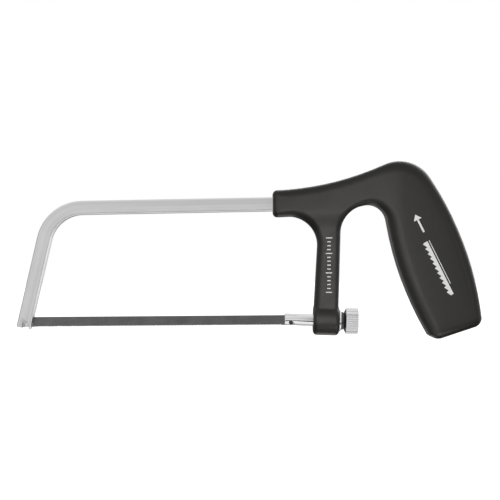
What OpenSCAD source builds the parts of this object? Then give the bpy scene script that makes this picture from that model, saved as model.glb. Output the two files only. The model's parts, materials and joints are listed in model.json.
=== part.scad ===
// Junior hacksaw: a bent square-bar bow, a cast pistol-grip handle and a pin-ended blade that a
// knurled nut draws tight through a tension rod.
// Frame: the origin is the middle of the front blade pin, +X runs along the blade towards the grip,
// +Z is up and the teeth point down. Everything is symmetrical about the plane Y = 0.

/* [Blade] */
// Distance between the two blade pins
pin_span = 150; // [140:1:160]
// Height of the blade from its back to its tooth tips
blade_h = 5.7; // [5.4:0.1:6.5]
// Thickness of the blade
blade_t = 0.65; // [0.5:0.05:0.8]
// Length of blade beyond each pin
blade_end = 3.2; // [2.5:0.1:3.5]
// Height of the blade's middle line above the pins
line_z = 1.2; // [0:0.1:1.3]
// Tooth pitch
tooth_pitch = 0.8; // [0.75:0.05:2]
// Depth of a tooth
tooth_depth = 0.5; // [0.3:0.05:0.8]
// Plain length without teeth at each end of the blade
tooth_margin = 9; // [8:0.5:20]
// Diameter of the blade pins
pin_d = 2.3; // [2:0.1:2.4]
// Length of the blade pins
pin_len = 5.6; // [5:0.1:5.8]

/* [Bow] */
// Side of the square bar
bar_w = 8; // [7:0.5:9]
// Radius of the bar's long edges
bar_edge_r = 1.2; // [0.5:0.1:2]
// Lean of the front leg from upright
leg_lean = 13.5; // [10:0.5:16]
// Rise of the top bar towards the handle
bar_rise = 0.64; // [0:0.02:1]
// Height above the pins of the corner where the leg's and the top bar's centre lines meet
corner_z = 65.8; // [64:0.1:67]
// Radius of the bend, measured on the bar's centre line
bend_r = 22.6; // [18:0.2:26]
// Depth of the leg's foot below the pins
leg_drop = 2; // [1.8:0.1:2.6]
// Side of the shouldered tang in the socket
tang_w = 7.4; // [6.5:0.1:7.6]
// Length of the tang
tang_len = 24; // [16:1:26]

/* [Handle] */
// X of the socket's mouth
socket_x = 140.2; // [139:0.1:142]
// Overall thickness of the socket
socket_t = 16; // [15:0.5:18]
// Overall thickness of the front arm
arm_t = 11; // [10:0.5:13]
// Overall thickness of the grip
grip_t = 25; // [22:0.5:28]
// Rounding of the outline's edges, seen from the side
edge_r = 2.6; // [1.5:0.1:3]
// Depth of that rounding across the handle
edge_depth = 4; // [3:0.1:5]
// Rounding of the grip's butt
butt_r = 6; // [3:0.5:8]
// Diameter of the barrel at the foot of the arm
boss_d = 17; // [15:0.1:18]
// Length of the barrel
boss_len = 14.9; // [14:0.1:16]
// Radius of the barrel's rims
boss_rim_r = 2.4; // [1:0.1:3]

/* [Tensioner] */
// Diameter of the tension rod
rod_d = 6.7; // [6.5:0.1:7]
// X of the rod's front end
rod_x = 146.4; // [146:0.1:147]
// Height of the rod's axis above the rear pin
rod_z = 1.6; // [1.2:0.1:1.8]
// Dip of the rod's axis towards the grip
rod_dip = 2; // [0:0.1:2]
// Distance across the rod's two guide flats
flat_w = 5.9; // [5.5:0.1:6.1]
// Diameter of the rod's thread
thread_d = 6; // [5:0.5:6]
// X of the rod's rear end, measured along its axis
rod_end_x = 186.4; // [184:0.1:188]
// Diameter of the washer
washer_d = 12; // [11:0.5:12.5]
// Thickness of the washer
washer_t = 1; // [0.8:0.1:1.2]
// Diameter of the nut's knurled head
nut_d = 14.9; // [13:0.1:15.5]
// Overall length of the nut
nut_len = 9.7; // [9:0.1:12]
// Number of straight knurls
knurls = 36; // [24:2:48]
// Travel of the rod when the nut is slackened
rod_travel = 1.26; // [0.5:0.01:1.3]

/* [Fits] */
// Width of the slits that the blade stands in
slit_w = 0.9; // [0.8:0.05:1.1]
// Radial running clearance of rod, thread and pins
run_gap = 0.05; // [0.03:0.01:0.08]
// Clearance all round the tang
tang_gap = 0.02; // [0.01:0.01:0.05]

/* [Hidden] */
$fn = 48;
cut = 1;
steel_satin = "#c3c3c1";
chrome = "#dcdcdc";
cast_black = "#3e3d3b";
blade_grey = "#5d5d5d";

// The bow's corner, where the centre lines of the leg and the top bar would meet.
corner_x = 14.3;
bend_turn = 90 - leg_lean - bar_rise;
bend_leg = bend_r * tan(bend_turn / 2);
leg_len = (corner_z + leg_drop) / cos(leg_lean) - bend_leg;

// The bar's shoulder stops just short of the socket's mouth.
mouth_gap = 0.1;
bar_len = (socket_x - mouth_gap - corner_x) / cos(bar_rise) - bend_leg;

// The barrel starts a little behind the arm's front edge.
boss_x = 162.7;
boss_end_x = boss_x + boss_len;
washer_gap = 0.04;
nut_x = boss_end_x + washer_t + washer_gap;

// The barrel's bore is round at first and has its two guide flats from here on.
bore_round_len = 3;

// Where the nut's knurled head starts, behind its collar and cone.
head_from = 2.6;

// Corners of the handle's outline, clockwise, each [x, z, radius].
outline = [
    [socket_x, 75, 2.6],
    [173.3, 76.3, 169],
    [219.7, 96, 20.4],
    [253.3, 43.7, 180],
    [258, -1.8, 5.6],
    [230.1, -10.9, 6.4],
    [211.5, 19.6, 189],
    [203.2, 68, 10.3],
    [179.2, 63.8, 15.6],
    [176.8, 0, 3],
    [162.9, 0, 3],
    [166.2, 58.9, 16.2],
    [socket_x, 59.9, 2.6]
];

// ---- outlines ----

function unit(v) = v / norm(v);
function cross2(a, b) = a[0] * b[1] - a[1] * b[0];
function xy(p) = [p[0], p[1]];
function at(list, i) = list[(i + len(list)) % len(list)];

// Direction of the side that leaves corner i.
function side_dir(c, i) = unit(xy(at(c, i + 1)) - xy(at(c, i)));

// Positive where the outline, taken clockwise, turns inwards to its body.
function turn_at(c, i) = asin(-cross2(side_dir(c, i - 1), side_dir(c, i)));

// Points of the arc that rounds corner i, at most arc_step degrees apart.
function corner_arc(c, i, arc_step) =
    let (a = side_dir(c, i - 1), turn = turn_at(c, i), r = at(c, i)[2])
    let (start = xy(at(c, i)) - a * r * tan(abs(turn) / 2))
    let (side = turn > 0 ? 1 : -1, steps = max(2, ceil(abs(turn) / arc_step)))
    let (centre = start + side * r * [a[1], -a[0]])
    [for (k = [0 : steps])
        let (t = side * turn * k / steps)
        centre + r * (side * [-a[1], a[0]] * cos(t) + a * sin(t))];

function rounded(c, arc_step) = [for (i = [0 : len(c) - 1]) each corner_arc(c, i, arc_step)];

// Corners of a centred square, clockwise, each with the radius r.
function square_corners(w, r) =
    let (h = w / 2)
    [[-h, h, r], [h, h, r], [h, -h, r], [-h, -h, r]];

// Stands a drawing made in X and Z upright, t thick and centred on Y = 0.
module upright(t) {
    rotate([90, 0, 0])
        linear_extrude(height = t, center = true)
            children();
}

// Lays a solid drawn along +Z on the rod's axis, which meets the plane of the rear pin at rod_z.
module on_rod_axis(x) {
    translate([pin_span, 0, rod_z])
        rotate([0, 90 + rod_dip, 0])
            translate([0, 0, x - pin_span])
                children();
}

// ---- handle ----

// Length of a path up to its point number last.
function length_to(path, last) =
    last == 0 ? 0 : norm(path[last] - path[last - 1]) + length_to(path, last - 1);
function path_len(path) = length_to(path, len(path) - 1);

// Point of a path at a distance from its point i.
function walk(path, dist, i = 0) =
    let (step = norm(path[i + 1] - path[i]))
    dist <= step || i == len(path) - 2
        ? path[i] + (path[i + 1] - path[i]) * dist / step
        : walk(path, dist - step, i + 1);

// Point of a path at the fraction t of its length.
function along(path, t) = walk(path, t * path_len(path));

function reversed(list) = [for (i = [len(list) - 1 : -1 : 0]) list[i]];
function ease(t) = (1 - cos(180 * min(1, max(0, t)))) / 2;
function mix(a, b, t) = a + (b - a) * t;

// A closed ring between two edge points p and q: a flat-sided oval 2 * half_y thick, whose rounded
// corners are round_w wide and round_y deep. shrink pulls the whole ring in.
function ring(p, q, half_y, round_w, round_y, shrink = 0) =
    let (mid = (p + q) / 2, half_w = norm(p - q) / 2 - shrink, u = unit(p - q), h = half_y - shrink)
    let (least_flat = 0.2, steps = 4)
    let (rw = min(round_w, half_w - least_flat), ry = min(round_y, h - least_flat))
    [for (corner = [0 : 3])
        let (su = corner == 0 || corner == 3 ? 1 : -1, sy = corner < 2 ? 1 : -1)
        for (k = [0 : steps])
            let (a = 90 / steps * (corner % 2 == 0 ? k : steps - k))
            let (w = su * (half_w - rw + rw * cos(a)), y = sy * (h - ry + ry * sin(a)))
            [mid[0] + u[0] * w, y, mid[1] + u[1] * w]];

// A closed solid through a row of rings with equal numbers of points.
module loft(rings) {
    n = len(rings[0]);
    last = len(rings) - 1;
    sides = [for (i = [0 : last - 1])
        for (k = [0 : n - 1])
            let (a = i * n + k, b = i * n + (k + 1) % n)
            each [[a, b, b + n], [a, b + n, a + n]]];
    ends = [[for (k = [n - 1 : -1 : 0]) k], [for (k = [0 : n - 1]) last * n + k]];
    polyhedron(points = [for (r = rings) each r], faces = concat(sides, ends));
}

// The spine of the casting: socket, brace and grip, between its outer and its inner edge.
outer_edge = concat([xy(outline[0])], corner_arc(outline, 1, 3), corner_arc(outline, 2, 6),
                    corner_arc(outline, 3, 3), [xy(outline[4])]);
under_start = xy(outline[12]);

// The socket's lower edge is carried on behind the arm, up to the finger opening's arch.
under_end = mix(under_start, xy(outline[11]), 1.5);
arch_x = 200;
arch = concat(corner_arc(outline, 6, 3), corner_arc(outline, 7, 8), corner_arc(outline, 8, 8));
inner_edge = concat(
    [under_start, under_end],
    [for (p = reversed(arch)) if (p[0] > arch_x || p[1] > under_end[1] + 1) p],
    [xy(outline[5])]
);

spine_len = (path_len(outer_edge) + path_len(inner_edge)) / 2;

// How far a ring is pulled in at this distance from an end that is rounded with the radius r.
function end_pull(dist, r) = dist < r ? r - sqrt(r ^ 2 - (r - dist) ^ 2) : 0;

// The spine's ring at the fraction t of its length. It swells from the socket to the grip.
function spine_ring(t) =
    let (swell_from = 0.25, swell_len = 0.25, grip_edge_r = 2.6 * edge_r, grip_edge_depth = 2 * edge_depth)
    let (grip = ease((t - swell_from) / swell_len))
    let (pull = end_pull(t * spine_len, edge_r) + end_pull((1 - t) * spine_len, butt_r))
    ring(along(outer_edge, t), along(inner_edge, t), mix(socket_t, grip_t, grip) / 2,
         mix(edge_r, grip_edge_r, grip), mix(edge_depth, grip_edge_depth, grip), pull);

module spine() {
    steps = 48;
    front = [for (a = [0, 30, 60]) edge_r * (1 - cos(a)) / spine_len];
    body = [for (k = [1 : steps - 2]) k / steps];
    butt = [for (a = [70, 50, 30, 14, 0]) 1 - butt_r * (1 - cos(a)) / spine_len];
    loft([for (t = concat(front, body, butt)) spine_ring(t)]);
}

// The arm down to the barrel, which flares at its top to blend into the spine.
arm_left = concat([xy(outline[10])], corner_arc(outline, 11, 9));
arm_right = concat([xy(outline[9])], reversed(corner_arc(outline, 8, 9)));
function arm_ring(t) = ring(along(arm_left, t), along(arm_right, t), arm_t / 2, edge_r, edge_depth);

module arm() {
    steps = 24;
    top_left = [156, 65];
    top_right = [190, 70];
    buried = ring(top_left, top_right, arm_t / 2, edge_r, edge_depth);
    loft(concat([for (k = [0 : steps]) arm_ring(k / steps)], [buried]));
}

module barrel() {
    r = boss_d / 2;
    corners = [[0, boss_len, 0], [r, boss_len, boss_rim_r], [r, 0, boss_rim_r], [0, 0, 0]];
    rims = concat(corner_arc(corners, 1, 15), corner_arc(corners, 2, 15));
    on_rod_axis(boss_x)
        rotate_extrude()
            polygon(concat([[0, boss_len]], rims, [[0, 0]]));
}

// A bar of the rod's section with its two guide flats, for the rod or for its bore.
module flatted_bar(d, across, length) {
    intersection() {
        cylinder(d = d, h = length);
        translate([-d, -across / 2, -cut])
            cube([2 * d, across, length + 2 * cut]);
    }
}

module handle() {
    bore_d = rod_d + 2 * run_gap;
    pocket_play = 0.2;
    color(cast_black)
        difference() {
            union() {
                spine();
                arm();
                barrel();
            }
            on_rod_axis(boss_x - cut)
                cylinder(d = bore_d, h = bore_round_len + cut);
            on_rod_axis(boss_x + bore_round_len - cut)
                flatted_bar(bore_d, flat_w + 2 * run_gap, boss_len - bore_round_len + 2 * cut);
            tang_space(tang_w + 2 * tang_gap, tang_len + pocket_play);
        }
}

// ---- bow ----

module bar_section(w) {
    polygon(rounded(square_corners(w, bar_edge_r), 22.5));
}

// Moves to the bow's corner and turns so that +X runs along the top bar.
module at_corner() {
    translate([corner_x, 0, corner_z])
        rotate([0, -bar_rise, 0])
            children();
}

// The tang, which starts inside the bar's end, or with a little more room its socket.
module tang_space(w, length) {
    at_corner()
        translate([bend_leg + bar_len - cut, -w / 2, -w / 2])
            cube([length + cut, w, w]);
}

module top_bar() {
    at_corner()
        translate([bend_leg, 0, 0])
            rotate([0, 90, 0])
                linear_extrude(height = bar_len)
                    bar_section(bar_w);
}

module bend() {
    at_corner()
        translate([bend_leg, 0, -bend_r])
            rotate([90, 0, 0])
                rotate([0, 0, 90])
                    rotate_extrude(angle = bend_turn)
                        translate([bend_r, 0])
                            bar_section(bar_w);
}

// The leg is a hair slimmer than the bend, so that its top end can sit inside the bend's end face.
module leg() {
    lap = 0.5;
    slimmer = 0.03;
    translate([corner_x, 0, corner_z])
        rotate([0, 180 + leg_lean, 0])
            translate([0, 0, bend_leg - lap])
                linear_extrude(height = leg_len + lap)
                    bar_section(bar_w - slimmer);
}

// The notch that the front pin hooks into, open at the leg's foot.
module pin_notch() {
    seat_gap = 0.08;
    rear = pin_d / 2 + seat_gap;
    front = -pin_d / 2 - rod_travel - seat_gap;
    roof_r = (rear - front) / 2;
    translate([(rear + front) / 2, 0, 0]) {
        rotate([90, 0, 0])
            cylinder(r = roof_r, h = 2 * bar_w, center = true);
        translate([-roof_r, -bar_w, -2 * bar_w])
            cube([2 * roof_r, 2 * bar_w, 2 * bar_w]);
    }
}

module leg_slit() {
    over_blade = 0.6;
    slit_top = line_z + blade_h / 2 + over_blade;
    translate([-bar_w, -slit_w / 2, slit_top - 2 * bar_w])
        cube([2 * bar_w, slit_w, 2 * bar_w]);
}

module bow() {
    color(steel_satin)
        difference() {
            union() {
                top_bar();
                bend();
                leg();
                tang_space(tang_w, tang_len);
            }
            pin_notch();
            leg_slit();
        }
}

// ---- blade ----

// Outline of the blade, with raked teeth that cut on the push stroke.
function blade_points() =
    let (back = line_z + blade_h / 2, tip = line_z - blade_h / 2, root = tip + tooth_depth)
    let (x0 = -blade_end, x1 = pin_span + blade_end)
    let (first = x0 + tooth_margin, count = floor((x1 - x0 - 2 * tooth_margin) / tooth_pitch))
    let (run_out = 0.3, rake = 0.1)
    concat(
        [[x0, tip], [x0, back], [x1, back], [x1, tip], [first + count * tooth_pitch + run_out, tip]],
        [for (i = [count - 1 : -1 : 0])
            each [[first + (i + 1) * tooth_pitch, root], [first + i * tooth_pitch + rake, tip]]],
        [[first, root], [first - run_out, tip]]
    );

module blade() {
    color(blade_grey)
        difference() {
            upright(blade_t)
                polygon(blade_points());
            for (x = [0, pin_span])
                translate([x, 0, 0])
                    rotate([90, 0, 0])
                        cylinder(d = pin_d, h = 2 * blade_t, center = true);
        }
}

module blade_pin(x) {
    color(chrome)
        translate([x, 0, 0])
            rotate([90, 0, 0])
                cylinder(d = pin_d, h = pin_len, center = true);
}

module front_blade_pin() {
    blade_pin(0);
}

module rear_blade_pin() {
    blade_pin(pin_span);
}

// ---- tensioner ----

// The hooked slot that draws on the rear pin: it runs down and back to the rod's underside.
module pin_hook() {
    hook_r = pin_d / 2 + run_gap;
    hook_lean = 40;
    translate([pin_span, 0, 0]) {
        rotate([90, 0, 0])
            cylinder(r = hook_r, h = 2 * rod_d, center = true);
        rotate([0, -hook_lean, 0])
            translate([-hook_r, -rod_d, -2 * rod_d])
                cube([2 * hook_r, 2 * rod_d, 2 * rod_d]);
    }
}

// The slit for the blade's end, long enough for its upper corner as the blade swings.
module rod_slit() {
    corner_gap = 0.2;
    slit_end = pin_span + norm([blade_end, line_z + blade_h / 2]) + corner_gap;
    translate([rod_x - cut, -slit_w / 2, rod_z - rod_d])
        cube([slit_end - rod_x + cut, slit_w, 2 * rod_d]);
}

module tension_rod() {
    flats_x = boss_x + bore_round_len - 0.2;
    shoulder_x = boss_end_x - 1.5;
    nose = 0.5;
    color(chrome)
        difference() {
            union() {
                on_rod_axis(rod_x)
                    cylinder(d1 = rod_d - 2 * nose, d2 = rod_d, h = nose);
                on_rod_axis(rod_x + nose)
                    cylinder(d = rod_d, h = flats_x - rod_x - nose);
                on_rod_axis(flats_x)
                    flatted_bar(rod_d, flat_w, shoulder_x - flats_x);
                on_rod_axis(shoulder_x)
                    cylinder(d = thread_d, h = rod_end_x - nose - shoulder_x);
                on_rod_axis(rod_end_x - nose)
                    cylinder(d1 = thread_d, d2 = thread_d - 2 * nose, h = nose);
            }
            rod_slit();
            pin_hook();
        }
}

module washer() {
    hole_play = 0.4;
    color(chrome)
        difference() {
            on_rod_axis(boss_end_x)
                cylinder(d = washer_d, h = washer_t);
            on_rod_axis(boss_end_x - cut)
                cylinder(d = thread_d + hole_play, h = washer_t + 2 * cut);
        }
}

// Turned shape of the nut: collar, undercut, cone and head, each point [radius, length].
function nut_profile() =
    let (collar_r = 5.1, neck_r = 4.6, head_r = nut_d / 2, bevel = 0.5)
    [[0, 0], [collar_r - 0.3, 0], [collar_r, 0.3], [collar_r, 1], [neck_r, 1.2], [neck_r, 1.5],
     [collar_r + 0.1, 1.7], [head_r - bevel, head_from], [head_r, head_from + bevel],
     [head_r, nut_len - bevel], [head_r - bevel, nut_len], [0, nut_len]];

// The head's section, with one V groove for each knurl.
function knurl_points() =
    let (crest_r = nut_d / 2 + 0.02, groove_depth = 0.45)
    [for (i = [0 : 2 * knurls - 1])
        let (r = crest_r - (i % 2) * groove_depth, t = 180 * i / knurls)
        r * [cos(t), sin(t)]];

module knurled_nut() {
    color(chrome)
        difference() {
            on_rod_axis(nut_x)
                rotate_extrude()
                    polygon(nut_profile());
            on_rod_axis(nut_x + head_from)
                difference() {
                    cylinder(d = nut_d + 2, h = nut_len);
                    translate([0, 0, -cut])
                        linear_extrude(height = nut_len + 2 * cut)
                            polygon(knurl_points());
                }
            on_rod_axis(nut_x - cut)
                cylinder(d = thread_d + 2 * run_gap, h = nut_len + 2 * cut);
        }
}

handle();
bow();
blade();
front_blade_pin();
rear_blade_pin();
tension_rod();
washer();
knurled_nut();
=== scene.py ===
"""Looks of a junior hacksaw: satin steel bow, cast black handle, enamelled blade and a chromed
tensioner. Lengths are millimetres until a mesh is made. X runs along the blade towards the grip,
Z is up, and the saw is symmetrical about Y = 0."""

import json
import math

import bpy
import numpy as np
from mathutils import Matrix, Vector


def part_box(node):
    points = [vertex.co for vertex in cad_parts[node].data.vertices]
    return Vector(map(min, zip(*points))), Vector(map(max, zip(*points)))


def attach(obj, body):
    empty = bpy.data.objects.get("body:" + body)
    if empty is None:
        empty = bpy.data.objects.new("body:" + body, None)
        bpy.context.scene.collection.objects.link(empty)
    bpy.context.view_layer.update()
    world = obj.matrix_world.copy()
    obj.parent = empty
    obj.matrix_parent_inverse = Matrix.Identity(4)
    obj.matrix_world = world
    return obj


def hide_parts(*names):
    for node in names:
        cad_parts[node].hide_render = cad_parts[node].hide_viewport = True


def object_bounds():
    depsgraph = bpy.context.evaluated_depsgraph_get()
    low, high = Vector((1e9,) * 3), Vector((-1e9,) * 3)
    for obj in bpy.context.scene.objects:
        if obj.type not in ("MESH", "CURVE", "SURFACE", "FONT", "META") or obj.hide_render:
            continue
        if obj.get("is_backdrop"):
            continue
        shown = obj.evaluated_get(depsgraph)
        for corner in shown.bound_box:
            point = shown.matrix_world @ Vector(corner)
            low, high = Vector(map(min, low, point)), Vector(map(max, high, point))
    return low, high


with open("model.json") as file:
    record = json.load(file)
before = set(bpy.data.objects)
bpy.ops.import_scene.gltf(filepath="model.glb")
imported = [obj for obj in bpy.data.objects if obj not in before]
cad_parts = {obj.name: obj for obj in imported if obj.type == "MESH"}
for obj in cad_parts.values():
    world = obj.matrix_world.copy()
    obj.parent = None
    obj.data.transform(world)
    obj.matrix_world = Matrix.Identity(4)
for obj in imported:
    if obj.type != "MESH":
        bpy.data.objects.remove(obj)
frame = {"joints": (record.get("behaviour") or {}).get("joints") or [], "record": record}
cad_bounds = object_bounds()

MM = 0.001
CREASE = 35


def corner_mm(vector):
    """A point in metres as a list of millimetres."""
    return [value / MM for value in vector]


# ---- places that come from the frame ----

MOUNTS = {m["name"]: corner_mm(m["pos_m"]) for m in frame["record"]["mounts"]}
JOINTS = {j["name"]: j for j in frame["joints"]}
PIN_SPAN = MOUNTS["rear_blade_seat"][0]
BAR_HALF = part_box("bow")[1].y / MM
GRIP_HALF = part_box("handle")[1].y / MM
BLADE_LO, BLADE_HI = [corner_mm(v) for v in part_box("blade")]
PIN_LO, PIN_HI = [corner_mm(v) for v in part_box("front_blade_pin")]
PIN_R = (PIN_HI[0] - PIN_LO[0]) / 2
PIN_HALF = PIN_HI[1]
SOCKET_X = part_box("handle")[0].x / MM
AXIS_AT = np.array(corner_mm(JOINTS["nut_turn"]["pos_m"]))
AXIS = np.array(JOINTS["nut_turn"]["axis"], float)
ROD_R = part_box("tension_rod")[1].y / MM
NUT_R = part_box("knurled_nut")[1].y / MM
WASHER_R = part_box("washer")[1].y / MM

# ---- sizes ----

# Corners of the handle's outline, clockwise: x, z, corner radius, and the width of its soft edge.
HANDLE_CORNERS = [
    (SOCKET_X, 75, 2.6, 2.3),
    (173.3, 76.3, 169, 5),
    (219.7, 96, 20.4, 7),
    (253.3, 43.7, 180, 6.2),
    (258, -1.8, 5.6, 4.6),
    (230.1, -10.9, 6.4, 4.6),
    (211.5, 19.6, 189, 7.4),
    (203.2, 68, 10.3, 4.8),
    (179.2, 63.8, 15.6, 3.2),
    (176.8, 0, 3, 2),
    (162.9, 0, 3, 4.2),
    (166.2, 58.9, 16.2, 4.4),
    (SOCKET_X, 59.9, 2.6, 2.6),
]

# Half of the casting's thickness: thin at the arm, thicker at the socket, thickest at the grip.
SOCKET_HALF = 8
ARM_HALF = 5.5
SWELL_X, SWELL_LEN = 170, 44
ARM_TOP_Z, ARM_TOP_LEN = 64, 13
ARM_REAR_X, ARM_REAR_LEN = 196, 8
# The grip's sides fall away by CROWN towards the outline, over CROWN_REACH.
CROWN, CROWN_REACH = 0.45, 12
CROWN_X, CROWN_LEN = 196, 14

BARREL_R = 8.5
BARREL_X = 162.7
BARREL_LEN = 14.9
BARREL_RIM = 2.4
FILLET = 0.9
BORE_R = ROD_R + 0.05
HANDLE_STEP = 0.6

BOW_CORNER = np.array([14.3, 65.8])
BEND_R = 22.6
LEG_LEAN = 13.5
BAR_RISE = 0.64
BEND_TURN = math.radians(90 - LEG_LEAN - BAR_RISE)
FOOT_Z = -2
BAR_EDGE = 1.2
BAR_IN_SOCKET = 5
SOCKET_PLAY = 0.12
SLIT_HALF = 0.45

TOOTH_PITCH = 0.8
TOOTH_DEPTH = 0.5
TOOTH_MARGIN = 9
# Sideways set of the tooth tips, in a wave that is SET_WAVE teeth long and fades in over SET_FADE.
TOOTH_SET = 0.09
SET_WAVE = 10
SET_FADE = 4

ROD_X = 146.4
ROD_END_X = 186.4
THREAD_X = 176.1
THREAD_R = 3
THREAD_PITCH = 1
FLATS_X = 165.5
FLAT_HALF = 2.95
WASHER_X = BARREL_X + BARREL_LEN
WASHER_T = 1
NUT_X = WASHER_X + WASHER_T + 0.04
NUT_LEN = 9.7
KNURLS = 36


# ---- mesh helpers ----


def new_object(name, data):
    """An object of some data, placed in the scene."""
    obj = bpy.data.objects.new(name, data)
    bpy.context.scene.collection.objects.link(obj)
    return obj


def make_object(name, points, faces, material, crease=CREASE):
    """A mesh object from points in millimetres, smooth where faces meet at under crease degrees."""
    mesh = bpy.data.meshes.new(name)
    mesh.from_pydata((np.asarray(points, float) * MM).tolist(), [], faces)
    mesh.validate()
    mesh.update()
    obj = new_object(name, mesh)
    if material is not None:
        mesh.materials.append(material)
    shade(mesh, crease)
    return obj


def shade(mesh, crease):
    """Smooth shading with a sharp edge wherever faces meet at over crease degrees."""
    mesh.shade_smooth()
    mesh.set_sharp_from_angle(angle=math.radians(crease))


def apply_modifiers(obj):
    """Makes the result of obj's modifiers its own mesh."""
    depsgraph = bpy.context.evaluated_depsgraph_get()
    mesh = bpy.data.meshes.new_from_object(obj.evaluated_get(depsgraph))
    obj.modifiers.clear()
    obj.data = mesh
    shade(mesh, CREASE)


def cut(obj, cutters):
    """Takes the cutters' volumes out of obj and deletes them."""
    for cutter in cutters:
        modifier = obj.modifiers.new("cut", "BOOLEAN")
        modifier.operation = "DIFFERENCE"
        modifier.solver = "EXACT"
        modifier.object = cutter
        apply_modifiers(obj)
        bpy.data.objects.remove(cutter)


def soften(obj, width):
    """Breaks the sharp edges of obj with a small bevel."""
    modifier = obj.modifiers.new("edge", "BEVEL")
    modifier.width = width * MM
    modifier.segments = 2
    modifier.limit_method = "ANGLE"
    modifier.angle_limit = math.radians(50)
    apply_modifiers(obj)


def skin(rings, closed_ends=True):
    """Points and faces of a skin over rings of equal numbers of points."""
    count = len(rings[0])
    points = [p for ring in rings for p in ring]
    faces = []
    for i in range(len(rings) - 1):
        for k in range(count):
            a, b = i * count + k, i * count + (k + 1) % count
            faces.append((a, b, b + count, a + count))
    if closed_ends:
        faces.append(tuple(range(count))[::-1])
        faces.append(tuple(range((len(rings) - 1) * count, len(rings) * count)))
    return points, faces


def full_turn(segments):
    """Evenly spaced angles once round."""
    return [2 * math.pi * k / segments for k in range(segments)]


def on_axis(radius, turn, along):
    """World point at a distance along the rod's axis, given as its x would be on a level axis."""
    side = np.array([0.0, 1.0, 0.0])
    up = np.cross(AXIS, side)
    centre = AXIS_AT + AXIS * (along - PIN_SPAN)
    return centre + radius * (side * math.cos(turn) + up * math.sin(turn))


def lathe(name, profile, material, segments, start, place=on_axis):
    """A turned piece from (radius, length) points from start on, with closed discs for ends."""
    rings = [[place(r, t, start + s) for t in full_turn(segments)] for r, s in profile]
    points, faces = skin(rings)
    return make_object(name, points, faces, material)


def block(name, lo, hi):
    """A plain box for cutting."""
    points = [[x, y, z] for x in (lo[0], hi[0]) for y in (lo[1], hi[1]) for z in (lo[2], hi[2])]
    faces = [(0, 1, 3, 2), (4, 6, 7, 5), (0, 4, 5, 1), (2, 3, 7, 6), (0, 2, 6, 4), (1, 5, 7, 3)]
    return make_object(name, points, faces, None)


def arc_points(corners, index, step):
    """Points of the arc that rounds a corner of a clockwise outline, at most step degrees apart."""
    places = [np.array(corner[:2], float) for corner in corners]
    before, here, after = places[index - 1], places[index], places[(index + 1) % len(places)]
    a = (here - before) / np.linalg.norm(here - before)
    b = (after - here) / np.linalg.norm(after - here)
    turn = math.asin(max(-1.0, min(1.0, -(a[0] * b[1] - a[1] * b[0]))))
    radius = corners[index][2]
    side = 1 if turn > 0 else -1
    start = here - a * radius * math.tan(abs(turn) / 2)
    centre = start + side * radius * np.array([a[1], -a[0]])
    steps = max(2, math.ceil(math.degrees(abs(turn)) / step))
    points = []
    for k in range(steps + 1):
        t = side * turn * k / steps
        points.append(centre + radius * (side * np.array([-a[1], a[0]]) * math.cos(t) + a * math.sin(t)))
    return points


def ease(value):
    """Smooth step from 0 to 1 as value goes from 0 to 1."""
    value = np.clip(value, 0, 1)
    return value * value * (3 - 2 * value)


# ---- the handle as one implicit solid ----


def outline_samples():
    """Points along the handle's outline, about 1 mm apart, with the edge width at each."""
    points, widths = [], []
    corners = HANDLE_CORNERS
    arcs = [arc_points(corners, i, 2.5) for i in range(len(corners))]
    for i, arc in enumerate(arcs):
        points.extend(arc)
        widths.extend([corners[i][3]] * len(arc))
        last, first = arc[-1], arcs[(i + 1) % len(arcs)][0]
        gap = np.linalg.norm(first - last)
        count = max(1, int(gap))
        for k in range(1, count):
            t = k / count
            points.append(last + (first - last) * t)
            widths.append(corners[i][3] * (1 - t) + corners[(i + 1) % len(corners)][3] * t)
    return np.array(points), np.array(widths)


def outline_fields(x, z):
    """Signed distance inwards from the outline, and the local edge width, at every grid point."""
    blend_reach = 12
    points, widths = outline_samples()
    a, b = points, np.roll(points, -1, axis=0)
    keep = np.linalg.norm(b - a, axis=1) > 1e-6
    a, b, widths = a[keep], b[keep], widths[keep]
    px, pz = [g.ravel() for g in np.meshgrid(x, z, indexing="ij")]
    best = np.full(px.shape, 1e9)
    inside = np.zeros(px.shape, bool)
    weight_sum = np.zeros(px.shape)
    width_sum = np.zeros(px.shape)
    for (ax, az), (bx, bz), width in zip(a, b, widths):
        dx, dz = bx - ax, bz - az
        t = np.clip(((px - ax) * dx + (pz - az) * dz) / (dx * dx + dz * dz), 0, 1)
        gap = (px - ax - t * dx) ** 2 + (pz - az - t * dz) ** 2
        best = np.minimum(best, gap)
        weight = math.hypot(dx, dz) / (gap + blend_reach) ** 2
        weight_sum += weight
        width_sum += weight * width
        crosses = (az > pz) != (bz > pz)
        if dz != 0:
            inside ^= crosses & (px < ax + (pz - az) * dx / dz)
    distance = np.where(inside, 1, -1) * np.sqrt(best)
    shape = (len(x), len(z))
    return distance.reshape(shape), (width_sum / weight_sum).reshape(shape)


def smooth_join(a, b, fillet):
    """Union of two fields that are positive inside, with a fillet."""
    near = np.clip(fillet - np.abs(a - b), 0, None)
    return np.maximum(a, b) + near * near / (4 * fillet)


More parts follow.
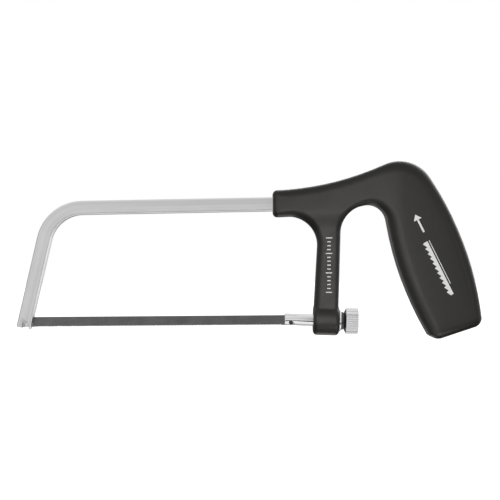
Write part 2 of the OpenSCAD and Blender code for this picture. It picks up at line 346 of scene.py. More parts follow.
class HandleShape:
    """The casting as a field that is positive inside: flat sides, soft edges and the barrel."""

    def __init__(self, step):
        """Tables of the outline's fields, twice as fine as the mesh, with a margin all round."""
        self.step = step / 2
        self.lo = np.array([SOCKET_X - 4, -22.0])
        hi = np.array([264.0, 100.0])
        counts = ((hi - self.lo) / self.step).astype(int)
        axes = [low + self.step * np.arange(count) for low, count in zip(self.lo, counts)]
        self.distance, self.width = outline_fields(*axes)

    def sample(self, table, x, z):
        """A table's value at x, z, blended between its four nearest grid points."""
        u = np.clip((x - self.lo[0]) / self.step, 0, table.shape[0] - 1.001)
        v = np.clip((z - self.lo[1]) / self.step, 0, table.shape[1] - 1.001)
        i, k = u.astype(int), v.astype(int)
        s, t = u - i, v - k
        return ((table[i, k] * (1 - s) + table[i + 1, k] * s) * (1 - t)
                + (table[i, k + 1] * (1 - s) + table[i + 1, k + 1] * s) * t)

    def half_thickness(self, x, z):
        """Half of the thickness between the side faces, before the edges and the crown."""
        swell = ease((x - SWELL_X) / SWELL_LEN)
        half = SOCKET_HALF + (GRIP_HALF - SOCKET_HALF) * swell
        arm = ease((ARM_TOP_Z - z) / ARM_TOP_LEN) * ease((ARM_REAR_X - x) / ARM_REAR_LEN)
        return half + (ARM_HALF - half) * arm

    def barrel(self, p):
        """The barrel at the arm's foot: a cylinder on the rod's axis with rounded rims."""
        offset = p - (AXIS_AT + AXIS * (BARREL_X + BARREL_LEN / 2 - PIN_SPAN))
        along = offset @ AXIS
        radius = np.linalg.norm(offset - along[:, None] * AXIS, axis=1)
        q = np.stack([np.abs(along) - BARREL_LEN / 2 + BARREL_RIM, radius - BARREL_R + BARREL_RIM])
        outer = np.linalg.norm(np.maximum(q, 0), axis=0)
        return BARREL_RIM - outer - np.minimum(q.max(axis=0), 0)

    def __call__(self, p):
        """Field at points p. An edge is a quarter ellipse, width wide and depth deep."""
        x, y, z = p[:, 0], np.abs(p[:, 1]), p[:, 2]
        distance = self.sample(self.distance, x, z)
        width = self.sample(self.width, x, z)
        near_rim = np.clip(1 - distance / CROWN_REACH, 0, 1)
        crown = CROWN * ease((x - CROWN_X) / CROWN_LEN) * near_rim**2
        half = self.half_thickness(x, z) - crown
        narrow, wide = 1.35 * width, 3 + 0.35 * width
        depth = np.minimum(np.minimum(narrow, wide), half - 1)
        u = np.clip(1 - distance / width, 0, None)
        v = np.clip((y - half + depth) / depth, 0, None)
        reach = np.sqrt(u * u + v * v) + 1e-9
        scale = (width * u * u + depth * v * v) / reach**2
        body = (1 - reach) * np.where(reach > 1e-6, scale, width)
        return smooth_join(body, self.barrel(p), FILLET)


def surface_net(field, lo, hi, step):
    """Quads over the zero level of a field, one point in each grid cell that the surface crosses."""
    counts = np.ceil((hi - lo) / step).astype(int) + 1
    axes = [lo[i] + step * np.arange(counts[i]) for i in range(3)]
    grid = np.stack(np.meshgrid(*axes, indexing="ij"), -1).reshape(-1, 3)
    value = np.concatenate([field(part) for part in np.array_split(grid, 24)]).reshape(counts)
    inside = value > 0
    cells = tuple(counts - 1)
    total = np.zeros(cells + (3,))
    hits = np.zeros(cells)
    for axis in range(3):
        others = [i for i in range(3) if i != axis]
        for first in (0, 1):
            for second in (0, 1):
                start = [0, 0, 0]
                start[others[0]], start[others[1]] = first, second
                low = tuple(slice(start[i], start[i] + cells[i]) for i in range(3))
                start[axis] = 1
                high = tuple(slice(start[i], start[i] + cells[i]) for i in range(3))
                crossed = inside[low] != inside[high]
                share = np.where(crossed, value[low] / (value[low] - value[high] + 1e-30), 0)
                spot = np.zeros(cells + (3,))
                spot[..., axis] = share
                spot[..., others[0]] = first
                spot[..., others[1]] = second
                total += np.where(crossed[..., None], spot, 0)
                hits += crossed
    used = hits > 0
    index = np.full(cells, -1)
    index[used] = np.arange(used.sum())
    origin = np.stack(np.nonzero(used), -1)
    points = lo + step * (origin + total[used] / hits[used][:, None])
    faces = []
    for axis in range(3):
        others = [(axis + 1) % 3, (axis + 2) % 3]
        low = [slice(1, -1)] * 3
        high = [slice(1, -1)] * 3
        low[axis], high[axis] = slice(0, -1), slice(1, None)
        crossed = inside[tuple(low)] != inside[tuple(high)]
        at = np.stack(np.nonzero(crossed), -1)
        leaves = inside[tuple(low)][crossed]
        base = at + 1
        base[:, axis] = at[:, axis]
        ring = []
        for first, second in ((0, 0), (1, 0), (1, 1), (0, 1)):
            cell = base.copy()
            cell[:, others[0]] -= 1 - first
            cell[:, others[1]] -= 1 - second
            ring.append(index[cell[:, 0], cell[:, 1], cell[:, 2]])
        quad = np.stack(ring, -1)
        quad[~leaves] = quad[~leaves][:, ::-1]
        faces.append(quad)
    return points, np.concatenate(faces)


def settle(field, points):
    """Moves points onto the zero level of a field along its slope, in short steps."""
    rounds, reach, least_steep, longest_step = 4, 0.02, 0.05, 0.4
    for _ in range(rounds):
        value = field(points)
        slope = np.stack([
            (field(points + reach * axis) - field(points - reach * axis)) / (2 * reach)
            for axis in np.eye(3)], -1)
        steep = np.maximum((slope**2).sum(1), least_steep)
        step = -(value / steep)[:, None] * slope
        length = np.linalg.norm(step, axis=1, keepdims=True)
        points = points + step * np.minimum(1, longest_step / np.maximum(length, 1e-9))
    return points


def handle_piece(material):
    """The casting, meshed from its field, with the bow's socket and the rod's bore cut in."""
    shape = HandleShape(HANDLE_STEP)
    lo = np.array([SOCKET_X - 1.5, -GRIP_HALF - 1.2, -13.0])
    hi = np.array([262.0, GRIP_HALF + 1.2, 96.0])
    points, faces = surface_net(shape, lo, hi, HANDLE_STEP)
    points = settle(shape, points)
    piece = make_object("handle_casting", points, faces.tolist(), material, 60)
    cut(piece, [bore_cutter(), socket_cutter()])
    shade(piece.data, 50)
    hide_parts("handle")
    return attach(piece, "frame")


def bore_cutter():
    """The rod's bore with a small countersink at each mouth."""
    sink, past = 0.4, 1
    mouth = BORE_R + sink + past
    profile = [(mouth, -past), (BORE_R, sink), (BORE_R, BARREL_LEN - sink), (mouth, BARREL_LEN + past)]
    return lathe("bore", profile, None, 72, BARREL_X)


def socket_cutter():
    """The square hole that the bow's bar is set in."""
    half = BAR_HALF + SOCKET_PLAY
    ring = rounded_square(half, BAR_EDGE + SOCKET_PLAY)
    start, along, _ = bow_bar_line()
    mouth, before, beyond = (SOCKET_X - start[0]) / along[0], 3, 0.1
    stations = [mouth - before, mouth + BAR_IN_SOCKET + beyond]
    rings = [[bar_point(start + along * s, along, w, y) for w, y in ring] for s in stations]
    points, faces = skin(rings)
    return make_object("socket_hole", points, faces, None)


# ---- bow ----


def rounded_square(half, radius):
    """Points (up, across) of a rounded square, in order."""
    ring, steps = [], 6
    for quarter in range(4):
        middle = math.pi / 4 + quarter * math.pi / 2
        centre = ((half - radius) * math.copysign(1, math.cos(middle)),
                  (half - radius) * math.copysign(1, math.sin(middle)))
        for k in range(steps + 1):
            t = quarter * math.pi / 2 + k / steps * math.pi / 2
            ring.append((centre[0] + radius * math.cos(t), centre[1] + radius * math.sin(t)))
    return ring


def bow_bar_line():
    """End of the bend, direction of the top bar, and length of a side from the corner to the bend."""
    side = BEND_R * math.tan(BEND_TURN / 2)
    rise = math.radians(BAR_RISE)
    along = np.array([math.cos(rise), math.sin(rise)])
    return BOW_CORNER + along * side, along, side


def bar_point(centre, along, up, y):
    """Point of the bar's section, with up measured away from the bend's centre."""
    return [centre[0] - along[1] * up, y, centre[1] + along[0] * up]


def bow_stations():
    """Centre, direction, share of the full section and distance at each ring from foot to socket."""
    lean = math.radians(LEG_LEAN)
    leg = np.array([math.sin(lean), math.cos(lean)])
    start, along, side = bow_bar_line()
    foot = BOW_CORNER - leg * (BOW_CORNER[1] - FOOT_Z) / math.cos(lean)
    leg_end = BOW_CORNER - leg * side
    leg_len = np.linalg.norm(leg_end - foot)
    bevel, leg_steps, bend_steps, bar_steps = 0.35, 8, 40, 12
    stations = [(foot, leg, bevel, 0), (foot + leg * bevel, leg, 0, bevel)]
    for k in range(1, leg_steps):
        done = leg_len * k / leg_steps
        stations.append((foot + leg * done, leg, 0, done))
    normal = np.array([leg[1], -leg[0]])
    centre = leg_end + normal * BEND_R
    for k in range(bend_steps + 1):
        t = BEND_TURN * k / bend_steps
        way = leg * math.cos(t) + normal * math.sin(t)
        out = np.array([-way[1], way[0]])
        stations.append((centre + out * BEND_R, way, 0, leg_len + BEND_R * t))
    done = leg_len + BEND_R * BEND_TURN
    bar_len = (SOCKET_X + BAR_IN_SOCKET - start[0]) / along[0]
    for k in range(1, bar_steps + 1):
        part = bar_len * k / bar_steps
        stations.append((start + along * part, along, 0, done + part))
    return stations


def bow_piece(material):
    """The bent square bar, with the slit and the notch at its foot."""
    rings, lengths = [], []
    for centre, along, shrink, distance in bow_stations():
        section = rounded_square(BAR_HALF - shrink, BAR_EDGE - 0.6 * shrink)
        rings.append([bar_point(centre, along, up, y) for up, y in section])
        lengths.append(distance)
    points, faces = skin(rings)
    piece = make_object("bow_bar", points, faces, material)
    unwrap_bar(piece, lengths, len(rings[0]))
    cut(piece, [slit_cutter(), notch_cutter()])
    soften(piece, 0.1)
    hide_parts("bow")
    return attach(piece, "frame")


def unwrap_bar(piece, lengths, count):
    """UVs in metres: along the bar and around it, so that drawing lines follow the bend."""
    layer = piece.data.uv_layers.new(name="bar")
    perimeter = 8 * BAR_HALF
    for polygon in piece.data.polygons:
        for loop in polygon.loop_indices:
            vertex = piece.data.loops[loop].vertex_index
            around = vertex % count
            if around == 0 and any(piece.data.loops[i].vertex_index % count == count - 1
                                   for i in polygon.loop_indices):
                around = count
            layer.data[loop].uv = (lengths[vertex // count] * MM, around / count * perimeter * MM)


def slit_cutter():
    """The slit at the foot of the leg that the blade's end stands in."""
    play, reach, depth = 0.6, 8, 16
    top = BLADE_HI[2] + play
    return block("slit", (-reach, -SLIT_HALF, top - depth), (reach, SLIT_HALF, top))


def notch_cutter():
    """The round-topped notch that the front pin hooks into, open downwards."""
    gap, depth, reach = 0.08, 12, 8
    travel = -JOINTS["rod_slide"]["range_m"][0] / MM
    rear, front = PIN_R + gap, -PIN_R - gap - travel
    radius, middle = (rear - front) / 2, (rear + front) / 2
    edge = [(middle + radius * math.cos(t), radius * math.sin(t))
            for t in np.linspace(0, math.pi, 25)]
    edge += [(middle - radius, -depth), (middle + radius, -depth)]
    rings = [[[x, y, z] for x, z in edge] for y in (reach, -reach)]
    points, faces = skin(rings)
    return make_object("notch", points, faces, None)


# ---- blade and pins ----


def blade_piece(material):
    """A thin plate whose teeth are set in a wave, left and right of its plane."""
    back, tip = BLADE_HI[2], BLADE_LO[2]
    root, set_from = tip + TOOTH_DEPTH, tip + 3 * TOOTH_DEPTH
    x0, x1 = BLADE_LO[0], BLADE_HI[0]
    half = BLADE_HI[1]
    first = x0 + TOOTH_MARGIN
    count = int((x1 - x0 - 2 * TOOTH_MARGIN) / TOOTH_PITCH)
    rake, run_out = 0.1, 0.3
    edge = [(x0, tip), (first - run_out, tip), (first, root)]
    for i in range(count):
        edge += [(first + i * TOOTH_PITCH + rake, tip), (first + (i + 1) * TOOTH_PITCH, root)]
    edge += [(first + count * TOOTH_PITCH + run_out, tip), (x1, tip)]
    points, columns = [], []
    for x, z in edge:
        wave = math.sin(2 * math.pi * (x - first) / (SET_WAVE * TOOTH_PITCH))
        last = first + count * TOOTH_PITCH
        fade = float(ease((x - first) / SET_FADE) * ease((last - x) / SET_FADE))
        lean = TOOTH_SET * wave * fade / (set_from - tip)
        column = []
        for y in (-half, half):
            levels = [(z, y + lean * (set_from - z)), (set_from, y), (back, y)]
            for height, offset in levels:
                column.append(len(points))
                points.append([x, offset, height])
        columns.append(column)
    faces = []
    for a, b in zip(columns, columns[1:]):
        faces += [(a[0], b[0], b[1], a[1]), (a[1], b[1], b[2], a[2])]
        faces += [(a[4], b[4], b[3], a[3]), (a[5], b[5], b[4], a[4])]
        faces += [(a[2], b[2], b[5], a[5]), (a[3], b[3], b[0], a[0])]
    for column, flip in ((columns[0], 1), (columns[-1], -1)):
        faces.append(tuple((column[:3] + column[:2:-1])[::flip]))
    piece = make_object("blade_strip", points, faces, material, 30)
    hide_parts("blade")
    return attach(piece, "blade")


def pin_piece(name, x, material):
    """A pin with chamfered rims and faintly domed ends."""
    rim, dome, core = 0.25, 0.05, 0.3
    end = [(core, 0), (PIN_R - rim - 0.35, dome), (PIN_R - rim, dome + 0.02), (PIN_R, dome + rim)]
    profile = [(r, -PIN_HALF + s) for r, s in end] + [(r, PIN_HALF - s) for r, s in reversed(end)]

    def place(radius, turn, y):
        return [x + radius * math.cos(turn), y, -radius * math.sin(turn)]

    piece = lathe(name + "_turned", profile, material, 48, 0.0, place)
    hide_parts(name)
    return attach(piece, "blade")


# ---- tensioner ----


def thread_depth(turn, along):
    """0 at a crest and 1 at a root of a right-handed thread."""
    phase = (along / THREAD_PITCH - turn / (2 * math.pi)) % 1
    return 1 - abs(2 * phase - 1)


def rod_piece(material):
    """A chromed rod: round in front, flatted inside the barrel and threaded behind."""
    segments, nose, root, thread_step, tip = 96, 0.5, 0.45, 0.1, 0.6
    turns = full_turn(segments)
    plain = [(ROD_R - nose, ROD_X), (ROD_R - 0.15, ROD_X + 0.2), (ROD_R, ROD_X + nose)]
    plain.append((ROD_R, FLATS_X))
    rings = [[on_axis(r, t, s) for t in turns] for r, s in plain]
    for along in (FLATS_X + 0.01, THREAD_X - 0.01):
        ring = [on_axis(ROD_R, t, along) for t in turns]
        rings.append([[p[0], max(-FLAT_HALF, min(FLAT_HALF, p[1])), p[2]] for p in ring])
    steps = int((ROD_END_X - THREAD_X) / thread_step)
    for i in range(steps + 1):
        along = THREAD_X + (ROD_END_X - THREAD_X) * i / steps
        limit = THREAD_R - max(0.0, along - ROD_END_X + tip)
        radii = [min(THREAD_R - root * thread_depth(t, along), limit) for t in turns]
        rings.append([on_axis(r, t, along) for r, t in zip(radii, turns)])
    points, faces = skin(rings)
    piece = make_object("tension_rod_turned", points, faces, material, 40)
    cut(piece, [rod_slit_cutter(), hook_cutter()])
    soften(piece, 0.06)
    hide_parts("tension_rod")
    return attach(piece, "rod")


def rod_slit_cutter():
    """The slit in the rod's front end that the blade stands in, ended just past the blade."""
    end = PIN_SPAN + math.hypot(BLADE_HI[0] - PIN_SPAN, BLADE_HI[2]) + 0.2
    return block("rod_slit", (ROD_X - 2, -SLIT_HALF, -8), (end, SLIT_HALF, 10))


def hook_cutter():
    """The hooked cross slot for the rear pin: round at the pin, leaning down and back."""
    gap, lean, length, reach = 0.05, math.radians(40), 14, 6
    radius = PIN_R + gap
    way = np.array([math.sin(lean), -math.cos(lean)])
    side = np.array([way[1], -way[0]])
    edge = []
    for t in np.linspace(0, math.pi, 25):
        edge.append(side * radius * math.cos(t) - way * radius * math.sin(t))
    edge += [way * length - side * radius, way * length + side * radius]
    rings = [[[PIN_SPAN + e[0], y, e[1]] for e in edge] for y in (-reach, reach)]
    points, faces = skin(rings)
    return make_object("hook", points, faces, None)


def ring_piece(name, outer, inner, material, segments, start):
    """A turned piece with a hole: outer and inner are (radius, length) from front to back."""
    profile = outer + inner[::-1]
    turns = full_turn(segments)
    rings = [[on_axis(r(t, s) if callable(r) else r, t, start + s) for t in turns] for r, s in profile]
    points, faces = skin(rings + [rings[0]], closed_ends=False)
    count = len(rings) * segments
    faces = [tuple(i % count for i in face) for face in faces]
    return make_object(name, points[:count], faces, material, 40)


def washer_piece(material):
    """A plain washer with rounded rims."""
    soft, hole = 0.22, THREAD_R + 0.2
    shoulder = 0.07
    rim = [(WASHER_R - soft, 0), (WASHER_R - shoulder, shoulder), (WASHER_R, soft)]
    outer = rim + [(r, WASHER_T - s) for r, s in reversed(rim)]
    inner = [(hole, 0), (hole, WASHER_T)]
    piece = ring_piece("washer_turned", outer, inner, material, 96, WASHER_X)
    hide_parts("washer")
    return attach(piece, "frame")


def knurl_radius(limit):
    """Radius of the knurled head at a turn, never above limit, with V grooves and blunt crests."""
    depth, blunt = 0.45, 0.3

    def radius(turn, _along):
        phase = abs((turn * KNURLS / (2 * math.pi)) % 1 - 0.5) * 2
        return min(limit, NUT_R - depth * max(0.0, (phase - blunt) / (1 - blunt)))

    return radius


def inner_thread(turn, along):
    """Radius of the nut's thread, which runs clear of the rod's."""
    clear, depth = 0.08, 0.35
    return THREAD_R + clear + depth * (1 - thread_depth(turn, NUT_X + along + THREAD_PITCH / 2))


def nut_piece(material, collar_reflection_material):
    """Collar, undercut neck, cone and knurled head, with a threaded bore."""
    collar, neck, bevel, head = 5.1, 4.6, 0.6, 2.6
    outer = [(collar - 0.3, 0), (collar - 0.08, 0.08), (collar, 0.3), (collar, 1)]
    outer += [(collar - 0.08, 1.1), (neck, 1.2), (neck, 1.5), (collar + 0.1, 1.7)]
    rim, bevel_steps = [], 4
    for k in range(bevel_steps + 1):
        t = k / bevel_steps * math.pi / 2
        rim.append((knurl_radius(NUT_R - bevel + bevel * math.sin(t)), bevel * (1 - math.cos(t))))
    outer += [(r, head + s) for r, s in rim] + [(r, NUT_LEN - s) for r, s in reversed(rim)]
    face_r, recess = NUT_R - bevel - 0.7, 0.12
    outer += [(face_r, NUT_LEN), (face_r - 0.3, NUT_LEN - recess)]
    mouth, mouth_len, thread_len, thread_step = THREAD_R + 0.75, 0.4, NUT_LEN - 0.9, 0.125
    steps = int(thread_len / thread_step)
    inner = [(mouth, 0)]
    inner += [(inner_thread, mouth_len + thread_len * k / steps) for k in range(steps + 1)]
    inner.append((mouth, NUT_LEN - recess))
    piece = ring_piece("knurled_nut_turned", outer, inner, material, KNURLS * 8, NUT_X)
    # The collar and cone get the dark material: a painted reflection of the black barrel beside them.
    paint_collar_reflection(piece, collar_reflection_material, head - 0.15)
    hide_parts("knurled_nut")
    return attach(piece, "nut")


def paint_collar_reflection(piece, material, length):
    """Gives the nut's faces up to a length from its front a second material: dark steel as a painted
    reflection of the black barrel, which is kept out of the chrome's reflections.
    """
    piece.data.materials.append(material)
    for polygon in piece.data.polygons:
        along = (np.array(polygon.center) / MM - AXIS_AT) @ AXIS + PIN_SPAN - NUT_X
        if along < length:
            polygon.material_index = 1


# ---- printed marks: plain signs, no lettering ----


def print_piece(name, shapes, half, material):
    """Flat shapes of (x, z) points as thin layers of paint on both side faces."""
    lift, sink = 0.03, 0.06
    points, faces = [], []
    for side in (-1, 1):
        for shape in shapes:
            start = len(points)
            n = len(shape)
            for y in (half + lift, half - sink):
                points += [[x, side * y, z] for x, z in shape]
            front = list(range(start, start + n))
            rear = list(range(start + n, start + 2 * n))
            walls = [(front[k], front[(k + 1) % n], rear[(k + 1) % n], rear[k]) for k in range(n)]
            group = [tuple(front[::-1]), tuple(rear)] + walls
            faces += group if side < 0 else [face[::-1] for face in group]
    piece = make_object(name, points, faces, material, 20)
    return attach(piece, "frame")


def placed(shape, centre, angle):
    """A shape turned by an angle in degrees and moved to centre."""
    c, s = math.cos(math.radians(angle)), math.sin(math.radians(angle))
    return [(centre[0] + c * u - s * v, centre[1] + s * u + c * v) for u, v in shape]


def bar_shape(u0, u1, v0, v1):
    """An upright rectangle between two corners."""
    return [(u0, v0), (u1, v0), (u1, v1), (u0, v1)]


def arrow_shape(u0, u1, shaft, head):
    """An arrow from u0 to u1: shaft is half its shaft's width, and head the length of its head."""
    return [(u0, -shaft), (u1 - head, -shaft), (u1 - head, -head * 0.75), (u1, 0),
            (u1 - head, head * 0.75), (u1 - head, shaft), (u0, shaft)]


def grip_marks():
    """A saw-tooth strip along the grip with a thin line beside it, and an arrow above it."""
    centre, angle, arrow_centre = (232.5, 30), -64, (222.3, 55.5)
    teeth, pitch, back, root, tip = 11, 3.0, 1.5, -0.2, -1.6
    half = teeth * pitch / 2
    strip = [(-half, back)]
    for k in range(teeth):
        left = k * pitch - half
        strip += [(left, root), (left + 0.5, tip)]
    strip += [(half, root), (half, back)]
    line = bar_shape(-half, half - 6, 2.3, 2.7)
    arrow = arrow_shape(-5.5, 5.5, 0.55, 3.2)
    return [placed(strip[::-1], centre, angle), placed(line, centre, angle),
            placed(arrow, arrow_centre, 180 + angle)]


def arm_marks():
    """A row of plain ticks down the arm: the ends and every fifth are long."""
    ticks, spacing, lean, half_height, foot = 15, 2.2, 0.02, 0.28, (171.6, 17)
    shapes = []
    for k in range(ticks):
        reach = 1.8 if k % 5 == 0 or k == ticks - 1 else 1.0
        tick = bar_shape(-reach, reach, -half_height, half_height)
        shapes.append(placed(tick, (foot[0] + lean * k, foot[1] + spacing * k), 0))
    return shapes


# ---- materials ----


class Nodes:
    """Short calls for building a node tree."""

    def __init__(self, tree):
        self.tree = tree
        tree.nodes.clear()

    def add(self, kind, **settings):
        """A new node; inputs is a table of its inputs, and the rest are its own settings."""
        node = self.tree.nodes.new(kind)
        inputs = settings.pop("inputs", {})
        for key, value in settings.items():
            setattr(node, key, value)
        for key, value in inputs.items():
            self.put(node, key, value)
        return node

    def put(self, node, key, value):
        """Sets an input to a value, or links it to another node's output."""
        if isinstance(value, bpy.types.NodeSocket):
            self.tree.links.new(value, node.inputs[key])
        else:
            node.inputs[key].default_value = value

    def math(self, operation, a, b=0.0):
        """The result of an operation on one or two values."""
        return self.add("ShaderNodeMath", operation=operation, inputs={0: a, 1: b}).outputs[0]

    def ramp(self, value, low, high, out_low=0.0, out_high=1.0):
        """Smooth step from out_low to out_high as value goes from low to high."""
        inputs = {"From Min": low, "From Max": high, "To Min": out_low, "To Max": out_high}
        inputs["Value"] = value
        node = self.add("ShaderNodeMapRange", interpolation_type="SMOOTHSTEP", inputs=inputs)
        return node.outputs["Result"]

    def noise(self, vector, scale, detail=3.0, roughness=0.5):
        """Cloudy values between 0 and 1."""
        look = {"Vector": vector, "Scale": scale, "Detail": detail, "Roughness": roughness}
        return self.add("ShaderNodeTexNoise", inputs=look).outputs["Fac"]

    def stretch(self, vector, factors):
        """A vector scaled axis by axis, so that noise over it runs in lines."""
        inputs = {0: vector, 1: factors}
        return self.add("ShaderNodeVectorMath", operation="MULTIPLY", inputs=inputs).outputs[0]

    def mix(self, share, a, b):
        """Colour a, taken over by colour b as share goes from 0 to 1."""
        return self.add("ShaderNodeMix", data_type="RGBA", inputs={0: share, 6: a, 7: b}).outputs[2]

    def bump(self, height, strength, distance, normal=None):
        """A normal from a height between 0 and 1 that stands for a distance in metres."""
        look = {"Strength": strength, "Distance": distance, "Height": height}
        node = self.add("ShaderNodeBump", inputs=look)
        if normal is not None:
            self.put(node, "Normal", normal)
        return node.outputs["Normal"]


def grey(tone):
    """A neutral colour."""
    return (tone, tone, tone, 1)


def new_material(name):
    """A material with its node calls, its shader and the place on the piece in metres."""
    material = bpy.data.materials.new(name)
    material.use_nodes = True
    n = Nodes(material.node_tree)
    shader = n.add("ShaderNodeBsdfPrincipled")
    n.add("ShaderNodeOutputMaterial", inputs={"Surface": shader.outputs["BSDF"]})
    place = n.add("ShaderNodeTexCoord").outputs["Object"]
    return material, n, shader, place


def cast_black():
    """Powder coat on a casting: fine orange peel, faint sheen changes, rubbed crests, a parting line."""
    material, n, shader, place = new_material("cast_black")
    cloud = n.noise(place, 60, 3)
    grain = n.noise(place, 2600, 2)
    peel = n.noise(place, 900, 2, 0.4)
    edge = n.ramp(n.add("ShaderNodeNewGeometry").outputs["Pointiness"], 0.52, 0.6)
    rub = n.math("MULTIPLY", edge, n.ramp(n.noise(place, 300, 4, 0.7), 0.5, 0.7))
    base = n.mix(cloud, (0.009, 0.0086, 0.0077, 1), (0.0115, 0.011, 0.0099, 1))
    n.put(shader, "Specular Tint", (1, 0.985, 0.96, 1))
    n.put(shader, "Base Color", n.mix(rub, base, (0.05, 0.049, 0.047, 1)))
    rough = n.math("ADD", n.ramp(cloud, 0.3, 0.7, 0.4, 0.46), n.math("MULTIPLY", grain, 0.06))
    n.put(shader, "Roughness", n.math("SUBTRACT", rough, n.math("MULTIPLY", rub, 0.08)))
    across_saw = n.add("ShaderNodeSeparateXYZ", inputs={"Vector": place}).outputs["Y"]
    seam = n.ramp(n.math("ABSOLUTE", across_saw), 0.0001, 0.0003, 1, 0)
    first = n.bump(peel, 0.2, 0.00012)
    second = n.bump(grain, 0.22, 0.00004, first)
    n.put(shader, "Normal", n.bump(seam, 0.5, 0.0001, second))
    return material


def satin_steel():
    """Drawn and satin-plated bar: lines along the bar that follow its bend, clouds in the plating."""
    material, n, shader, place = new_material("satin_steel")
    along = n.add("ShaderNodeUVMap", uv_map="bar").outputs["UV"]
    lines = n.noise(n.stretch(along, (6, 2600, 1)), 1, 4, 0.6)
    bands = n.noise(n.stretch(along, (3, 420, 1)), 1, 2, 0.5)
    cloud = n.noise(place, 90, 4, 0.6)
    speck = n.noise(place, 2200, 2)
    tone = n.math("ADD", n.math("MULTIPLY", bands, 0.5), n.math("MULTIPLY", lines, 0.5))
    n.put(shader, "Base Color", n.mix(n.ramp(tone, 0.35, 0.65), grey(0.655), grey(0.81)))
    n.put(shader, "Metallic", 1.0)
    rough = n.math("ADD", n.ramp(cloud, 0.3, 0.7, 0.3, 0.38), n.math("MULTIPLY", lines, 0.1))
    n.put(shader, "Roughness", rough)
    n.put(shader, "Anisotropic", 0.45)
    tangent = n.add("ShaderNodeTangent", direction_type="UV_MAP", uv_map="bar")
    n.put(shader, "Tangent", tangent.outputs[0])
    first = n.bump(lines, 0.12, 0.00005)
    second = n.bump(bands, 0.35, 0.0001, first)
    n.put(shader, "Normal", n.bump(speck, 0.06, 0.00004, second))
    return material


def blade_enamel():
    """Dark grey enamel over rolled strip, worn from the tooth tips. Round the two pins it is bare steel
    too, a patch that is painted light: it lifts the shade where the blade's ends stand in the slits.
    """
    material, n, shader, place = new_material("blade_enamel")
    parts = n.add("ShaderNodeSeparateXYZ", inputs={"Vector": place})
    cloud = n.noise(place, 120, 4, 0.6)
    rolled = n.noise(n.stretch(place, (60, 60, 2200)), 1, 3, 0.6)
    tone = n.math("ADD", n.math("MULTIPLY", cloud, 0.6), n.math("MULTIPLY", rolled, 0.4))
    paint = n.mix(n.ramp(tone, 0.35, 0.65), grey(0.15), grey(0.21))
    root = (BLADE_LO[2] + TOOTH_DEPTH) * MM
    waver = n.math("MULTIPLY", n.math("SUBTRACT", cloud, 0.5), 0.0006)
    ragged = n.math("ADD", parts.outputs["Z"], waver)
    wear_and_painted_light = n.ramp(ragged, root - 0.0004, root + 0.0002, 1, 0)
    # Bare steel round each pin: painted light that lifts the shade round the blade's ends in the slits.
    for x in (0, PIN_SPAN):
        ends = {0: place, 1: (x * MM, 0, 0)}
        offset = n.add("ShaderNodeVectorMath", operation="DISTANCE", inputs=ends)
        reach = n.math("ADD", offset.outputs["Value"], n.math("MULTIPLY", cloud, 0.001))
        wear_and_painted_light = n.math("MAXIMUM", wear_and_painted_light, n.ramp(reach, 0.0031, 0.0037, 1, 0))
    n.put(shader, "Base Color", n.mix(wear_and_painted_light, paint, grey(0.75)))
    n.put(shader, "Metallic", n.math("MULTIPLY", wear_and_painted_light, 0.9))
    n.put(shader, "Roughness", n.ramp(tone, 0.3, 0.7, 0.34, 0.46))
    first = n.bump(rolled, 0.1, 0.00004)
    n.put(shader, "Normal", n.bump(n.noise(place, 1800, 2), 0.08, 0.00004, first))
    return material


def chrome_plate(name, base, rough_low, rough_high):
    """Bright plate over a turned face: fine turning lines, faint haze, hairline scratches, and
    painted shade that darkens the colour in narrow grooves such as the knurls and the thread."""
    material, n, shader, place = new_material(name)
    haze = n.noise(place, 160, 4, 0.6)
    turning = n.noise(n.stretch(place, (5200, 500, 500)), 1, 2, 0.5)
    hair = n.noise(n.stretch(place, (300, 2400, 2400)), 1, 5, 0.7)
    plate = n.mix(haze, tuple(0.94 * c for c in base) + (1,), base + (1,))
    # Painted shade: the plate's colour goes dark grey where nearby faces hem the surface in.
    hollow = n.add("ShaderNodeAmbientOcclusion", samples=8, inputs={"Distance": 0.0012})
    crevice_shade = n.ramp(hollow.outputs["AO"], 0.25, 0.7, 1, 0)
    n.put(shader, "Base Color", n.mix(crevice_shade, plate, grey(0.35)))
    n.put(shader, "Metallic", 1.0)
    n.put(shader, "Roughness", n.ramp(haze, 0.3, 0.7, rough_low, rough_high))
    first = n.bump(turning, 0.05, 0.00003)
    n.put(shader, "Normal", n.bump(hair, 0.04, 0.00004, first))
    return material


def toned_steel(name, tone):
    """Dull steel with a fine grain, at a given tone: the pins, pale on the front one as painted light
    and dark on the rear one as painted shade, and the nut's collar, dark as a painted reflection of the
    black barrel.
    """
    material, n, shader, place = new_material(name)
    grain = n.noise(n.stretch(place, (5000, 400, 900)), 1, 3, 0.6)
    n.put(shader, "Base Color", n.mix(grain, grey(0.7 * tone), grey(tone)))
    n.put(shader, "Metallic", 1.0)
    n.put(shader, "Roughness", n.ramp(grain, 0.3, 0.7, 0.3, 0.5))
    n.put(shader, "Normal", n.bump(grain, 0.2, 0.00005))
    return material


def print_white():
    """Pad-printed off-white paint, a little thin in places."""
    material, n, shader, place = new_material("print_white")
    worn = n.noise(place, 1500, 4, 0.7)
    thin, full = (0.6, 0.6, 0.59, 1), (0.95, 0.95, 0.93, 1)
    n.put(shader, "Base Color", n.mix(n.ramp(worn, 0.25, 0.5), thin, full))
    n.put(shader, "Roughness", n.ramp(worn, 0.3, 0.7, 0.45, 0.6))
    n.put(shader, "Normal", n.bump(worn, 0.15, 0.00003))
    return material


